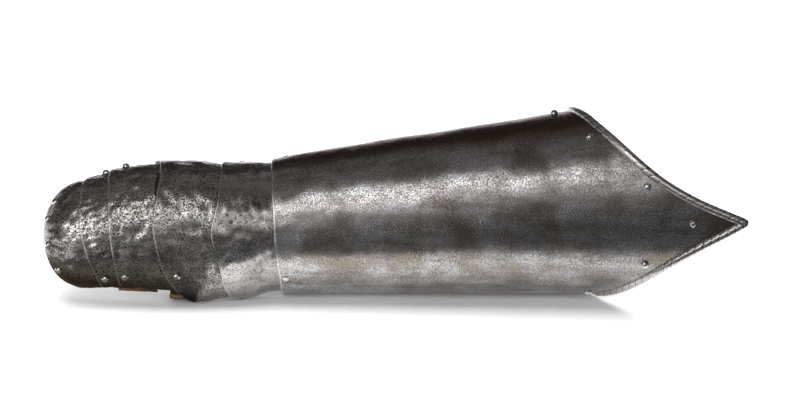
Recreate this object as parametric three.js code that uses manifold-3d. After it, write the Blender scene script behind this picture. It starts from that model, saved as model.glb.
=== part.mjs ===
// A steel mitten gauntlet with a long pointed cuff, lying on its side.
// Millimetres, +Z up. The fingertips point to -X, the point of the cuff to +X, and the back of the
// hand faces -Y. Every plate is a layer of one common skin, so that each nests inside the next.
import * as THREE from "three";
import { mergeVertices } from "three/addons/utils/BufferGeometryUtils.js";
import Module from "manifold-3d";

const wasm = await Module();
wasm.setup();

// Driving dimensions of the whole gauntlet
const LENGTH = 500; // of the skin, which the point of the cuff nearly reaches
const HAND_HALF_WIDTH = 43; // across the knuckles, inside all plates
const HAND_HALF_DEPTH = 28; // from the pivots' plane to the back of the hand
const LYING_HEIGHT = 47; // the hand's middle above the surface that the gauntlet lies on
const MOUTH_HALF_WIDTH = 56; // the cuff's mouth, inside all layers
const MOUTH_HALF_DEPTH = 45;

// Sheet metal and clearances
const PLATE = 1.4; // thickness of every steel plate
const SIDE_GAP = 0.7; // between nested plates at their sides
const BACK_GAP = 1.5; // between nested plates over the back of the hand
const KNUCKLE_FLARE = 2.2; // how far the metacarpal plate's front edge stands off
const FLARE_REACH = 32; // behind that edge
const FLARE_LOW = { ends: -98, fades: -87 }; // degrees round the section
const FLARE_HIGH = { fades: 68, ends: 92 };
const RIVET_GAP = 0.45; // under a rivet's head
const HOLE_GAP = 0.6; // around its shank, so that the plates can turn

// Rivets
const DOME_RADIUS = 2.8;
const DOME_HEIGHT = 2.1;
const FLUSH_RADIUS = 2.6;
const FLUSH_HEIGHT = 0.6;
const SHANK_RADIUS = 1.2;
const BURR_RADIUS = 2.2;
const BURR_HEIGHT = 0.8;
const DRILL_RADIUS = SHANK_RADIUS + HOLE_GAP;
const DRILL_REACH = 2; // past the plates on either side

// Border of the cuff: a sheet edge turned over a wire, and roped
const BORDER_RADIUS = 3.1;
const BORDER_RISE = 0.9; // how far the roll's middle stands out of the cuff's own surface
const ROPE_PITCH = 7; // between two turns of the roping
const ROPE_DEPTH = 0.35;

// Leather
const LEATHER = 2.2;

// The common skin. at: share of LENGTH from the fingertips. wide and deep: shares of the hand's half
// width and half depth, or of the mouth's from the row named mouth on. high: share of LYING_HEIGHT.
// near: how far the middle lies towards the back of the hand, a share of the half depth.
// roll: how far the back of the hand is turned up, in degrees. palm: how much deeper the palm's side
// is than the back, a share of the depth.
const SKIN = [
  { at: 0.06, wide: 0.885, deep: 0.905, high: 0.925, near: 0.214, roll: 27, palm: 0 },
  { at: 0.081, wide: 0.909, deep: 0.929, high: 0.948, near: 0.214, roll: 26, palm: 0 },
  { at: 0.098, wide: 0.926, deep: 0.939, high: 0.976, near: 0.214, roll: 25, palm: 0 },
  { at: 0.151, wide: 0.977, deep: 0.964, high: 0.999, near: 0.214, roll: 21, palm: 0 },
  { at: 0.222, wide: 1.0, deep: 1.0, high: 0.988, near: 0.214, roll: 18, palm: 0 },
  { at: 0.257, wide: 0.949, deep: 0.982, high: 0.975, near: 0.196, roll: 18, palm: 0 },
  { at: 0.293, wide: 0.925, deep: 0.964, high: 0.983, near: 0.143, roll: 17.5, palm: 0 },
  { at: 0.325, wide: 0.87, deep: 0.939, high: 1.012, near: 0.05, roll: 17.2, palm: 0 },
  { at: 0.37, wide: 0.912, deep: 1.006, high: 1.065, near: 0.034, roll: 16, palm: 0 },
  { at: 0.774, wide: 1.0, deep: 1.0, high: 1.425, near: 0, roll: 0, palm: 0.28, mouth: true },
  { at: 1.0, wide: 1.17, deep: 1.18, high: 1.695, near: 0, roll: 0, palm: 0.28, mouth: true },
].map((row) => ({
  x: row.at * LENGTH,
  wide: row.wide * (row.mouth ? MOUTH_HALF_WIDTH : HAND_HALF_WIDTH),
  deep: row.deep * (row.mouth ? MOUTH_HALF_DEPTH : HAND_HALF_DEPTH),
  high: row.high * LYING_HEIGHT,
  near: row.near * HAND_HALF_DEPTH,
  palm: row.palm,
  roll: THREE.MathUtils.degToRad(row.roll),
}));

// The cuff's underside is flat where it lies: by this share of its palm value
const SOLE = 0.13;

// The fingertips' dome reaches this far from the first row of the skin
const DOME_START = SKIN[0].x;
const DOME_BLUNTNESS = 2.1;

// A value between the rows of a table by monotone cubic steps, so that nothing overshoots.
function between(rows, x, key, value) {
  const last = rows.length - 1;
  if (x <= rows[0][key]) return rows[0][value];
  if (x >= rows[last][key]) return rows[last][value];
  const i = rows.findIndex((row) => row[key] > x) - 1;
  const slope = (j) => (rows[j + 1][value] - rows[j][value]) / (rows[j + 1][key] - rows[j][key]);
  const tangent = (j) => {
    if (j === 0) return slope(0);
    if (j === last) return slope(last - 1);
    const [before, after] = [slope(j - 1), slope(j)];
    return before * after <= 0 ? 0 : (2 * before * after) / (before + after);
  };
  const span = rows[i + 1][key] - rows[i][key];
  const t = (x - rows[i][key]) / span;
  const [p, q] = [rows[i][value], rows[i + 1][value]];
  const [m, n] = [tangent(i) * span, tangent(i + 1) * span];
  return (
    p * (2 * t ** 3 - 3 * t ** 2 + 1) +
    m * (t ** 3 - 2 * t ** 2 + t) +
    q * (3 * t ** 2 - 2 * t ** 3) +
    n * (t ** 3 - t ** 2)
  );
}

// The point of a layer's outer face at x, turned by phi degrees from the back of the hand's middle
// towards the upper side. out: how far it lies outside the layer, negative inside.
function skinPoint(layer, x, phi, out = 0) {
  const at = (value) => between(SKIN, x, "x", value);
  const short = Math.min(Math.max((DOME_START - x) / (DOME_START + out), 0), 1);
  const dome = (1 - short ** DOME_BLUNTNESS) ** (1 / DOME_BLUNTNESS);
  const wide = (at("wide") + layer * (PLATE + SIDE_GAP) + out) * dome;
  const deep = (at("deep") + layer * (PLATE + BACK_GAP) + out) * dome;
  const turn = THREE.MathUtils.degToRad(phi);
  const fuller = 1 + at("palm") * Math.min(Math.cos(turn), 0) ** 2;
  const back = deep * Math.cos(turn) * fuller;
  const side = wide * Math.max(Math.sin(turn), -1 + at("palm") * SOLE);
  const roll = at("roll");
  return new THREE.Vector3(
    x,
    -at("near") - back * Math.cos(roll) + side * Math.sin(roll),
    at("high") + back * Math.sin(roll) + side * Math.cos(roll),
  );
}

// Front edges of the plates and the cuff's rim. phi runs from the lower side to the upper one, and
// back is how far the edge lies behind its foremost point, a share of HAND_HALF_WIDTH.
const MIDDLE_EDGE = [
  { phi: -80, back: 0.395 },
  { phi: -58, back: 0.296 },
  { phi: -34, back: 0.164 },
  { phi: -8, back: 0.05 },
  { phi: 15, back: 0 },
  { phi: 46, back: 0.028 },
  { phi: 97, back: 0.164 },
];
const UPPER_EDGE = [
  { phi: -72, back: 0.207 },
  { phi: -50, back: 0.148 },
  { phi: -25, back: 0.082 },
  { phi: 0, back: 0.025 },
  { phi: 20, back: 0 },
  { phi: 50, back: 0.005 },
  { phi: 97, back: 0.049 },
];
const KNUCKLE_EDGE = [
  { phi: -100, back: 1.2 },
  { phi: -86, back: 0.72 },
  { phi: -78, back: 0.6 },
  { phi: -65, back: 0.457 },
  { phi: -52, back: 0.306 },
  { phi: -40, back: 0.192 },
  { phi: -25, back: 0.099 },
  { phi: -12, back: 0.041 },
  { phi: 0, back: 0 },
  { phi: 15, back: 0.023 },
  { phi: 30, back: 0.061 },
  { phi: 50, back: 0.112 },
  { phi: 72, back: 0.112 },
  { phi: 92, back: 0.008 },
  { phi: 112, back: 0.0 },
];
const WRIST_EDGE = [
  { phi: -101, back: 0.38 },
  { phi: -85, back: 0.349 },
  { phi: -52, back: 0.199 },
  { phi: -31, back: 0.123 },
  { phi: -14, back: 0.048 },
  { phi: 0, back: 0 },
  { phi: 15, back: 0.056 },
  { phi: 27, back: 0.104 },
  { phi: 38, back: 0.123 },
  { phi: 68, back: 0.161 },
  { phi: 112, back: 0.214 },
];
const CUFF_EDGE = [
  { phi: -180, back: 0.08 },
  { phi: -90, back: 0.16 },
  { phi: -55, back: 0.141 },
  { phi: -28, back: 0.086 },
  { phi: 8, back: 0.038 },
  { phi: 40, back: 0 },
  { phi: 97, back: 0 },
  { phi: 180, back: 0.08 },
];
// The rim of the cuff on either side of its point. off: degrees from the point. at: share of LENGTH.
const POINT_TURN = -4; // where the cuff's point lies round the section, in degrees
const RIM = [
  { off: 0, at: 0.994 },
  { off: 15.6, at: 0.921 },
  { off: 30.6, at: 0.871 },
  { off: 54, at: 0.82 },
  { off: 80, at: 0.78 },
  { off: 112, at: 0.754 },
  { off: 180, at: 0.75 },
];

const edgeAt = (rows, foremost) => (phi) =>
  foremost * LENGTH + between(rows, phi, "phi", "back") * HAND_HALF_WIDTH;
const rearAt = (share) => () => share * LENGTH;
const rimAt = (phi) => {
  const turn = Math.abs(phi - POINT_TURN);
  return between(RIM, Math.min(turn, 360 - turn), "off", "at") * LENGTH - BORDER_RADIUS;
};

// The plates from the fingertips to the cuff. layer counts outwards. from and to give the front and
// rear edges. low and high are the degrees round the section where the plate's sides end.
const PLATES = {
  fingertip_lame: { layer: 0, from: () => 0, to: rearAt(0.099), low: -94, high: 100 },
  middle_lame: { layer: 1, from: edgeAt(MIDDLE_EDGE, 0.053), to: rearAt(0.129), low: -76, high: 104 },
  upper_lame: { layer: 2, from: edgeAt(UPPER_EDGE, 0.0936), to: rearAt(0.205), low: -66, high: 106 },
  metacarpal_plate: {
    layer: 3,
    from: edgeAt(KNUCKLE_EDGE, 0.1583),
    to: rearAt(0.298),
    low: -100,
    high: 112,
    flare: KNUCKLE_FLARE,
  },
  wrist_lame: { layer: 4, from: edgeAt(WRIST_EDGE, 0.2403), to: rearAt(0.36), low: -101, high: 112 },
};
const CUFF_LAYER = 5;
const cuffFrom = edgeAt(CUFF_EDGE, 0.3247);

// How fine the faceted plates are
const LAME_COLUMNS = 22;
const LAME_ROWS = 5;
const TIP_ROWS = 12;
const CUFF_ROWS = 12;
const ROUND_SIDES = 8;
const BORDER_SIDES = 8;

const even = (count) => Array.from({ length: count + 1 }, (_, i) => i / count);

// A closed mesh from faces given as lists of corner points.
function closedMesh(quads) {
  const positions = [];
  for (const [a, b, c, d] of quads) {
    for (const corner of [a, b, c, a, c, d]) positions.push(corner.x, corner.y, corner.z);
  }
  const soup = new THREE.BufferGeometry();
  soup.setAttribute("position", new THREE.Float32BufferAttribute(positions, 3));
  const merged = mergeVertices(soup, 1e-3);
  const index = [...merged.index.array];
  const kept = [];
  for (let i = 0; i < index.length; i += 3) {
    const [a, b, c] = index.slice(i, i + 3);
    if (a !== b && b !== c && c !== a) kept.push(a, b, c);
  }
  merged.setIndex(kept);
  return merged;
}

// The faces of a sheet with two sides. outer and inner are grids of points, rows by columns, and
// round says that the columns close on themselves.
function sheetQuads(outer, inner, round) {
  const quads = [];
  const rows = outer.length - 1;
  const columns = round ? outer[0].length : outer[0].length - 1;
  const next = (j) => (j + 1) % outer[0].length;
  for (let i = 0; i < rows; i += 1) {
    for (let j = 0; j < columns; j += 1) {
      quads.push([outer[i][j], outer[i + 1][j], outer[i + 1][next(j)], outer[i][next(j)]]);
      quads.push([inner[i][j], inner[i][next(j)], inner[i + 1][next(j)], inner[i + 1][j]]);
    }
    if (!round) {
      const end = outer[0].length - 1;
      quads.push([outer[i][0], inner[i][0], inner[i + 1][0], outer[i + 1][0]]);
      quads.push([outer[i][end], outer[i + 1][end], inner[i + 1][end], inner[i][end]]);
    }
  }
  for (let j = 0; j < columns; j += 1) {
    quads.push([outer[0][j], outer[0][next(j)], inner[0][next(j)], inner[0][j]]);
    quads.push([outer[rows][j], inner[rows][j], inner[rows][next(j)], outer[rows][next(j)]]);
  }
  return quads;
}

// How far a plate's outer face stands off its layer: only the knuckle edge is flared, and the flare
// fades towards the plate's sides.
function flareOf(plate, x, phi) {
  if (!plate?.flare) return 0;
  const near = THREE.MathUtils.clamp(1 - (x - plate.from(phi)) / FLARE_REACH, 0, 1);
  const low = (phi - FLARE_LOW.ends) / (FLARE_LOW.fades - FLARE_LOW.ends);
  const high = (FLARE_HIGH.ends - phi) / (FLARE_HIGH.ends - FLARE_HIGH.fades);
  return plate.flare * near ** 2 * THREE.MathUtils.clamp(Math.min(low, high), 0, 1);
}

// A plate's outer face, or with out a face inside it, where u runs from front to rear.
function platePoint(plate, u, phi, out = 0) {
  const front = plate.layer === 0 ? -out : plate.from(phi);
  const x = THREE.MathUtils.lerp(front, plate.to(phi), u);
  return skinPoint(plate.layer, x, phi, out + flareOf(plate, x, phi));
}

function plateMesh(plate) {
  const grid = (out) =>
    even(plate.layer === 0 ? TIP_ROWS : LAME_ROWS).map((u) => {
      const share = plate.layer === 0 ? u ** 1.7 : u;
      return even(LAME_COLUMNS).map((v) =>
        platePoint(plate, share, THREE.MathUtils.lerp(plate.low, plate.high, v), out),
      );
    });
  return closedMesh(sheetQuads(grid(0), grid(-PLATE), false));
}

// The columns round the cuff are closer together beside its point.
const CUFF_TURNS = [0, 3, 6.5, 10.5, 15, 20, 26, 33, 41, 50, 60, 70, 80, 90, 100, 111, 122, 134, 146, 158, 169];
const cuffPhis = [
  ...CUFF_TURNS,
  180,
  ...CUFF_TURNS.slice(1).reverse().map((turn) => -turn),
].map((turn) => POINT_TURN + turn);

function cuffMesh() {
  const grid = (out) =>
    even(CUFF_ROWS).map((u) =>
      cuffPhis.map((phi) => {
        const x = THREE.MathUtils.lerp(cuffFrom(phi), rimAt(phi), u);
        return skinPoint(CUFF_LAYER, x, phi, out);
      }),
    );
  const sheet = solid(closedMesh(sheetQuads(grid(0), grid(-PLATE), true)));
  return geometryOf(sheet.add(solid(borderMesh())));
}

// The turned and roped border, a closed roll along the rim.
function borderMesh() {
  const centres = cuffPhis.map((phi) => skinPoint(CUFF_LAYER, rimAt(phi), phi, BORDER_RISE - PLATE));
  const count = centres.length;
  let run = 0;
  const rings = centres.map((centre, i) => {
    const before = centres[(i + count - 1) % count];
    const after = centres[(i + 1) % count];
    run += centre.distanceTo(before);
    const along = after.clone().sub(before).normalize();
    const legs = centre.clone().sub(before).normalize().dot(after.clone().sub(centre).normalize());
    const mitre = 1 / Math.max(Math.sqrt((1 + legs) / 2), 0.6);
    const outward = skinPoint(CUFF_LAYER, centre.x, cuffPhis[i], 1).sub(
      skinPoint(CUFF_LAYER, centre.x, cuffPhis[i], 0),
    );
    outward.addScaledVector(along, -outward.dot(along)).normalize();
    const across = along.clone().cross(outward).normalize();
    return even(BORDER_SIDES)
      .slice(0, BORDER_SIDES)
      .map((share) => {
        const turn = share * 2 * Math.PI;
        const rope = ROPE_DEPTH * Math.cos(turn * 2 + (run / ROPE_PITCH) * 2 * Math.PI);
        const radius = BORDER_RADIUS - ROPE_DEPTH + rope;
        return centre
          .clone()
          .addScaledVector(outward, radius * Math.cos(turn))
          .addScaledVector(across, radius * mitre * Math.sin(turn));
      });
  });
  const quads = [];
  rings.forEach((ring, i) => {
    const after = rings[(i + 1) % count];
    ring.forEach((corner, j) => {
      const k = (j + 1) % BORDER_SIDES;
      quads.push([corner, ring[k], after[k], after[j]]);
    });
  });
  return closedMesh(quads);
}

function solid(geometry) {
  const bare = geometry.clone();
  bare.deleteAttribute("normal");
  bare.deleteAttribute("uv");
  const merged = mergeVertices(bare, 1e-3);
  return new wasm.Manifold(
    new wasm.Mesh({
      numProp: 3,
      vertProperties: merged.attributes.position.array,
      triVerts: new Uint32Array(merged.index.array),
    }),
  );
}

function geometryOf(body) {
  const mesh = body.getMesh();
  const geometry = new THREE.BufferGeometry();
  geometry.setAttribute("position", new THREE.BufferAttribute(mesh.vertProperties, 3));
  geometry.setIndex(new THREE.BufferAttribute(mesh.triVerts, 1));
  return geometry;
}

// A rivet's round profile: a head outside, a shank through the plates, and a burr inside.
function rivetMesh(headRadius, headHeight, grip) {
  const inside = -(grip + RIVET_GAP);
  const profile = [
    [0, inside - BURR_HEIGHT],
    [BURR_RADIUS * 0.8, inside - BURR_HEIGHT],
    [BURR_RADIUS, inside],
    [SHANK_RADIUS, inside],
    [SHANK_RADIUS, RIVET_GAP],
    [headRadius, RIVET_GAP],
    [headRadius * 0.9, RIVET_GAP + headHeight * 0.45],
    [headRadius * 0.55, RIVET_GAP + headHeight * 0.86],
    [0, RIVET_GAP + headHeight],
  ].map(([radius, height]) => new THREE.Vector2(radius, height));
  return new THREE.LatheGeometry(profile, ROUND_SIDES);
}

// Where a rivet sits on a layer: its point on the outer face, and the turn that carries +Y outwards.
function seat(layer, x, phi, out = 0) {
  const point = skinPoint(layer, x, phi, out);
  const reach = 2;
  const along = skinPoint(layer, x + reach, phi, out).sub(skinPoint(layer, x - reach, phi, out));
  const around = skinPoint(layer, x, phi + reach, out).sub(skinPoint(layer, x, phi - reach, out));
  const outward = along.cross(around).normalize();
  if (outward.dot(skinPoint(layer, x, phi, out + 1).sub(point)) < 0) outward.negate();
  const turn = new THREE.Quaternion().setFromUnitVectors(new THREE.Vector3(0, 1, 0), outward);
  return { point, turn, outward };
}

// Where the palm strap ends and leaves the plate, in degrees, and the run where it leaves
const STRAP_LOW = { end: -76, leaves: -92, run: 0.14 };
const STRAP_HIGH = { end: 95, leaves: 109, run: 0.88 };
const strapRivetLow = THREE.MathUtils.lerp(STRAP_LOW.end, STRAP_LOW.leaves, 0.3);
const strapRivetHigh = THREE.MathUtils.lerp(STRAP_HIGH.end, STRAP_HIGH.leaves, 0.6);

// The rivets. outer and inner name the plates that each one holds, at is its share of LENGTH, and
// phi its angle round the section. The rivets of one joint lie on that joint's axis.
const RIVETS = [
  { name: "lining_rivet_1", outer: "fingertip_lame", at: 0.0176, phi: 50, flush: false },
  { name: "lining_rivet_2", outer: "fingertip_lame", at: 0.0075, phi: 28, flush: false },
  { name: "lining_rivet_3", outer: "fingertip_lame", at: 0.0085, phi: -27, flush: false },
  { name: "lining_rivet_4", outer: "fingertip_lame", at: 0.0226, phi: -61.5, flush: false },
  { name: "fingertip_pivot_low", outer: "middle_lame", inner: "fingertip_lame", at: 0.0886, phi: -57 },
  { name: "fingertip_pivot_high", outer: "middle_lame", inner: "fingertip_lame", at: 0.0886, phi: 85.5 },
  { name: "middle_pivot_low", outer: "upper_lame", inner: "middle_lame", at: 0.117, phi: -50 },
  { name: "middle_pivot_high", outer: "upper_lame", inner: "middle_lame", at: 0.117, phi: 87 },
  { name: "upper_pivot_low", outer: "metacarpal_plate", inner: "upper_lame", at: 0.1904, phi: -40 },
  { name: "upper_pivot_high", outer: "metacarpal_plate", inner: "upper_lame", at: 0.1904, phi: 103, flush: true },
  { name: "hand_pivot_low", outer: "wrist_lame", inner: "metacarpal_plate", at: 0.2814, phi: -94, flush: true },
  { name: "hand_pivot_high", outer: "wrist_lame", inner: "metacarpal_plate", at: 0.2814, phi: 100, flush: true },
  { name: "wrist_pivot_low", outer: "cuff", inner: "wrist_lame", at: 0.3436, phi: -49, flush: true },
  { name: "wrist_pivot_high", outer: "cuff", inner: "wrist_lame", at: 0.3436, phi: 98, flush: true },
  { name: "strap_rivet_low", outer: "metacarpal_plate", inner: "palm_strap", at: 0.224, phi: strapRivetLow, flush: true },
  { name: "strap_rivet_high", outer: "metacarpal_plate", inner: "palm_strap", at: 0.228, phi: strapRivetHigh, flush: true },
  { name: "rim_rivet_1", outer: "cuff", at: 0.915, phi: -1.5 },
  { name: "rim_rivet_2", outer: "cuff", at: 0.851, phi: 22.5 },
  { name: "rim_rivet_3", outer: "cuff", at: 0.771, phi: 60.5 },
  { name: "rim_rivet_4", outer: "cuff", at: 0.723, phi: 101 },
  { name: "rim_rivet_5", outer: "cuff", at: 0.849, phi: -27.5 },
  { name: "rim_rivet_6", outer: "cuff", at: 0.771, phi: -63 },
  { name: "rim_rivet_7", outer: "cuff", at: 0.722, phi: -108 },
  { name: "rim_rivet_8", outer: "cuff", at: 0.717, phi: -148 },
  { name: "rim_rivet_9", outer: "cuff", at: 0.717, phi: 144 },
];

// The palm strap hangs inside the metacarpal plate and crosses the open side of the hand. run goes
// from its lower end to its upper one. front and rear: shares of LENGTH.
const STRAP_EDGES = [
  { run: 0, front: 0.179, rear: 0.238 },
  { run: 0.15, front: 0.179, rear: 0.236 },
  { run: 0.5, front: 0.188, rear: 0.232 },
  { run: 0.8, front: 0.204, rear: 0.24 },
  { run: 1, front: 0.21, rear: 0.246 },
];
const STRAP_BULGE = 15; // how far the strap's middle bows out from the pivots' plane
const LEATHER_GAP = 0.6;
const STRAP_COLUMNS = 24;

function strapPoint(u, v, out) {
  const front = between(STRAP_EDGES, v, "run", "front") * LENGTH;
  const rear = between(STRAP_EDGES, v, "run", "rear") * LENGTH;
  const x = THREE.MathUtils.lerp(front, rear, u);
  const onPlate = (phi) => {
    const flare = flareOf(PLATES.metacarpal_plate, x, phi);
    return skinPoint(PLATES.metacarpal_plate.layer, x, phi, flare + out - PLATE - LEATHER_GAP);
  };
  const { lerp } = THREE.MathUtils;
  if (v <= STRAP_LOW.run) return onPlate(lerp(STRAP_LOW.end, STRAP_LOW.leaves, v / STRAP_LOW.run));
  if (v >= STRAP_HIGH.run) {
    return onPlate(lerp(STRAP_HIGH.leaves, STRAP_HIGH.end, (v - STRAP_HIGH.run) / (1 - STRAP_HIGH.run)));
  }
  const t = (v - STRAP_LOW.run) / (STRAP_HIGH.run - STRAP_LOW.run);
  const low = onPlate(STRAP_LOW.leaves);
  const high = onPlate(STRAP_HIGH.leaves);
  const pull = 4 * (STRAP_BULGE + out);
  const leave = onPlate(STRAP_LOW.leaves - 1).sub(low).setX(0).normalize().multiplyScalar(pull);
  const arrive = high.clone().sub(onPlate(STRAP_HIGH.leaves + 1)).setX(0).normalize().multiplyScalar(pull);
  return low
    .multiplyScalar(2 * t ** 3 - 3 * t ** 2 + 1)
    .addScaledVector(leave, t ** 3 - 2 * t ** 2 + t)
    .addScaledVector(high, 3 * t ** 2 - 2 * t ** 3)
    .addScaledVector(arrive, t ** 3 - t ** 2)
    .setX(x);
}

function strapMesh() {
  const grid = (out) =>
    even(4).map((u) => even(STRAP_COLUMNS).map((v) => strapPoint(u, 1 - v, out)));
  return closedMesh(sheetQuads(grid(0), grid(-LEATHER), false));
}

// The leather edging that shows below the upper lame: it hangs inside that lame's lower side.
const EDGING = [
  { run: 0, at: 0.107, high: -83 },
  { run: 0.35, at: 0.136, high: -79 },
  { run: 0.6, at: 0.148, high: -58 },
  { run: 1, at: 0.162, high: -58 },
];
const EDGING_LOW = -89;

function edgingMesh() {
  const grid = (out) =>
    even(8).map((u) => {
      const x = between(EDGING, u, "run", "at") * LENGTH;
      const high = between(EDGING, u, "run", "high");
      return even(6).map((v) =>
        skinPoint(PLATES.upper_lame.layer, x, THREE.MathUtils.lerp(EDGING_LOW, high, v), out),
      );
    });
  const outer = -PLATE - LEATHER_GAP;
  return closedMesh(sheetQuads(grid(outer), grid(outer - LEATHER), false));
}

const layerOf = (name) => (name === "cuff" ? CUFF_LAYER : PLATES[name].layer);

// What each rivet passes through, from the outer plate's outer face to the last inner face.
function gripOf(rivet, place, x) {
  if (!rivet.inner) return PLATE;
  if (rivet.inner === "palm_strap") return PLATE + LEATHER_GAP + LEATHER + RIVET_GAP;
  const flare = flareOf(PLATES[rivet.inner], x, rivet.phi);
  const inside = skinPoint(layerOf(rivet.inner), x, rivet.phi, flare - PLATE);
  return place.point.clone().sub(inside).dot(place.outward);
}

const steel = new THREE.MeshStandardMaterial({ color: 0x8d8f90, metalness: 0.9, roughness: 0.35 });
const bright = new THREE.MeshStandardMaterial({ color: 0xc9cbcc, metalness: 0.95, roughness: 0.22 });
const leather = new THREE.MeshStandardMaterial({ color: 0x4d3a22, metalness: 0, roughness: 0.8 });

const blanks = { palm_strap: solid(strapMesh()), finger_edging: solid(edgingMesh()) };
for (const [name, plate] of Object.entries(PLATES)) blanks[name] = solid(plateMesh(plate));
blanks.cuff = solid(cuffMesh());

const rivetMeshes = RIVETS.map((rivet) => {
  const x = rivet.at * LENGTH;
  const place = seat(layerOf(rivet.outer), x, rivet.phi, flareOf(PLATES[rivet.outer], x, rivet.phi));
  const grip = gripOf(rivet, place, x);
  const hole = new THREE.CylinderGeometry(DRILL_RADIUS, DRILL_RADIUS, 2 * (grip + DRILL_REACH), ROUND_SIDES);
  hole.applyQuaternion(place.turn).translate(...place.point.toArray());
  const drill = solid(hole);
  for (const name of [rivet.outer, rivet.inner]) {
    if (name) blanks[name] = blanks[name].subtract(drill);
  }
  const geometry = rivet.flush
    ? rivetMesh(FLUSH_RADIUS, FLUSH_HEIGHT, grip)
    : rivetMesh(DOME_RADIUS, DOME_HEIGHT, grip);
  const mesh = new THREE.Mesh(geometry, bright);
  geometry.applyQuaternion(place.turn).translate(...place.point.toArray());
  mesh.name = rivet.name;
  return mesh;
});

const group = new THREE.Group();
group.name = "gauntlet";
for (const [name, blank] of Object.entries(blanks)) {
  const isLeather = name === "palm_strap" || name === "finger_edging";
  const mesh = new THREE.Mesh(geometryOf(blank), isLeather ? leather : steel);
  mesh.name = name;
  group.add(mesh);
}
group.add(...rivetMeshes);

// Stand the whole thing on z = 0, with the middle of its box over the origin.
const box = new THREE.Box3().setFromObject(group, true);
const shift = box.getCenter(new THREE.Vector3()).setZ(box.min.z).negate();
for (const mesh of group.children) mesh.geometry.translate(shift.x, shift.y, shift.z);

export default group;
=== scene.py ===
"""Looks of a steel mitten gauntlet: hammered plates, a long pointed cuff, roped border, rivets, leather."""
import math

import bpy
import numpy as np
from mathutils import Matrix, Vector


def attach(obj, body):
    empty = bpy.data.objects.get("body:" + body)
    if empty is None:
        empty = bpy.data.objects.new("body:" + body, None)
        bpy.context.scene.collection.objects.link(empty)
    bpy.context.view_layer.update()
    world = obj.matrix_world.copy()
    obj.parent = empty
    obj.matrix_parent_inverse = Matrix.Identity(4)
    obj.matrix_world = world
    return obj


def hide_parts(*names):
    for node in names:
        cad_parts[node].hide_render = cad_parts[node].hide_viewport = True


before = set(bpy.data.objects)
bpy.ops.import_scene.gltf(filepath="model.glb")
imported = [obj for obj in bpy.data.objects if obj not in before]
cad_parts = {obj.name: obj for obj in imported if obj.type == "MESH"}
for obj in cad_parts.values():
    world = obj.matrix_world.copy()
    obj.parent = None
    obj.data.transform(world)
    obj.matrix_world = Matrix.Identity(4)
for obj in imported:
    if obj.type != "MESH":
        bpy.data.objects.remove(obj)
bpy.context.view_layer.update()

# Driving sizes, in metres, the same as the solids'
LENGTH = 0.500
HAND_HALF_WIDTH = 0.043
HAND_HALF_DEPTH = 0.028
LYING_HEIGHT = 0.047
MOUTH_HALF_WIDTH = 0.056
MOUTH_HALF_DEPTH = 0.045
PLATE = 0.0014
SIDE_GAP = 0.0007
BACK_GAP = 0.0015
KNUCKLE_FLARE = 0.0022
FLARE_REACH = 0.032
RIVET_GAP = 0.00045
DOME_RADIUS = 0.0028
DOME_HEIGHT = 0.0021
FLUSH_RADIUS = 0.0026
FLUSH_HEIGHT = 0.0006
SHANK_RADIUS = 0.0012
BURR_RADIUS = 0.0022
BURR_HEIGHT = 0.0008
BORDER_RADIUS = 0.0031
BORDER_RISE = 0.0009
ROPE_PITCH = 0.0067
LEATHER = 0.0022
LEATHER_GAP = 0.0006
SOLE = 0.13
POINT_TURN = -4.0
CUFF_LAYER = 5
LAME_DENTS = 0.00022
WRIST_DENTS = 0.00014

# The common skin of the solids: at, wide, deep, high, near, roll, palm
SKIN = np.array([
    [0.06, 0.885, 0.905, 0.925, 0.214, 27, 0],
    [0.081, 0.909, 0.929, 0.948, 0.214, 26, 0],
    [0.098, 0.926, 0.939, 0.976, 0.214, 25, 0],
    [0.151, 0.977, 0.964, 0.999, 0.214, 21, 0],
    [0.222, 1.0, 1.0, 0.988, 0.214, 18, 0],
    [0.257, 0.949, 0.982, 0.975, 0.196, 18, 0],
    [0.293, 0.925, 0.964, 0.983, 0.143, 17.5, 0],
    [0.325, 0.87, 0.939, 1.012, 0.05, 17.2, 0],
    [0.37, 0.912, 1.006, 1.065, 0.034, 16, 0],
    [0.774, 1.0, 1.0, 1.425, 0, 0, 0.28],
    [1.0, 1.17, 1.18, 1.695, 0, 0, 0.28],
])
MOUTH_ROWS = slice(9, 11)
SKIN[:, 0] *= LENGTH
SKIN[:9, 1] *= HAND_HALF_WIDTH
SKIN[MOUTH_ROWS, 1] *= MOUTH_HALF_WIDTH
SKIN[:9, 2] *= HAND_HALF_DEPTH
SKIN[MOUTH_ROWS, 2] *= MOUTH_HALF_DEPTH
SKIN[:, 3] *= LYING_HEIGHT
SKIN[:, 4] *= HAND_HALF_DEPTH
SKIN[:, 5] = np.radians(SKIN[:, 5])
DOME_START = SKIN[0, 0]
DOME_BLUNTNESS = 2.1

# Edges of the plates: degrees round the section, and how far back, a share of HAND_HALF_WIDTH
MIDDLE_EDGE = [(-80, 0.395), (-58, 0.296), (-34, 0.164), (-8, 0.05), (15, 0), (46, 0.028), (97, 0.164)]
UPPER_EDGE = [(-72, 0.207), (-50, 0.148), (-25, 0.082), (0, 0.025), (20, 0), (50, 0.005), (97, 0.049)]
KNUCKLE_EDGE = [
    (-100, 1.2), (-86, 0.72), (-78, 0.6), (-65, 0.457), (-52, 0.306), (-40, 0.192), (-25, 0.099),
    (-12, 0.041),
    (0, 0), (15, 0.023), (30, 0.061), (50, 0.112), (72, 0.112), (92, 0.008), (112, 0),
]
WRIST_EDGE = [
    (-101, 0.38), (-85, 0.349), (-52, 0.199), (-31, 0.123), (-14, 0.048), (0, 0), (15, 0.056), (27, 0.104),
    (38, 0.123), (68, 0.161), (112, 0.214),
]
CUFF_EDGE = [
    (-180, 0.08), (-90, 0.16), (-55, 0.141), (-28, 0.086), (8, 0.038), (40, 0), (97, 0), (180, 0.08),
]
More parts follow.
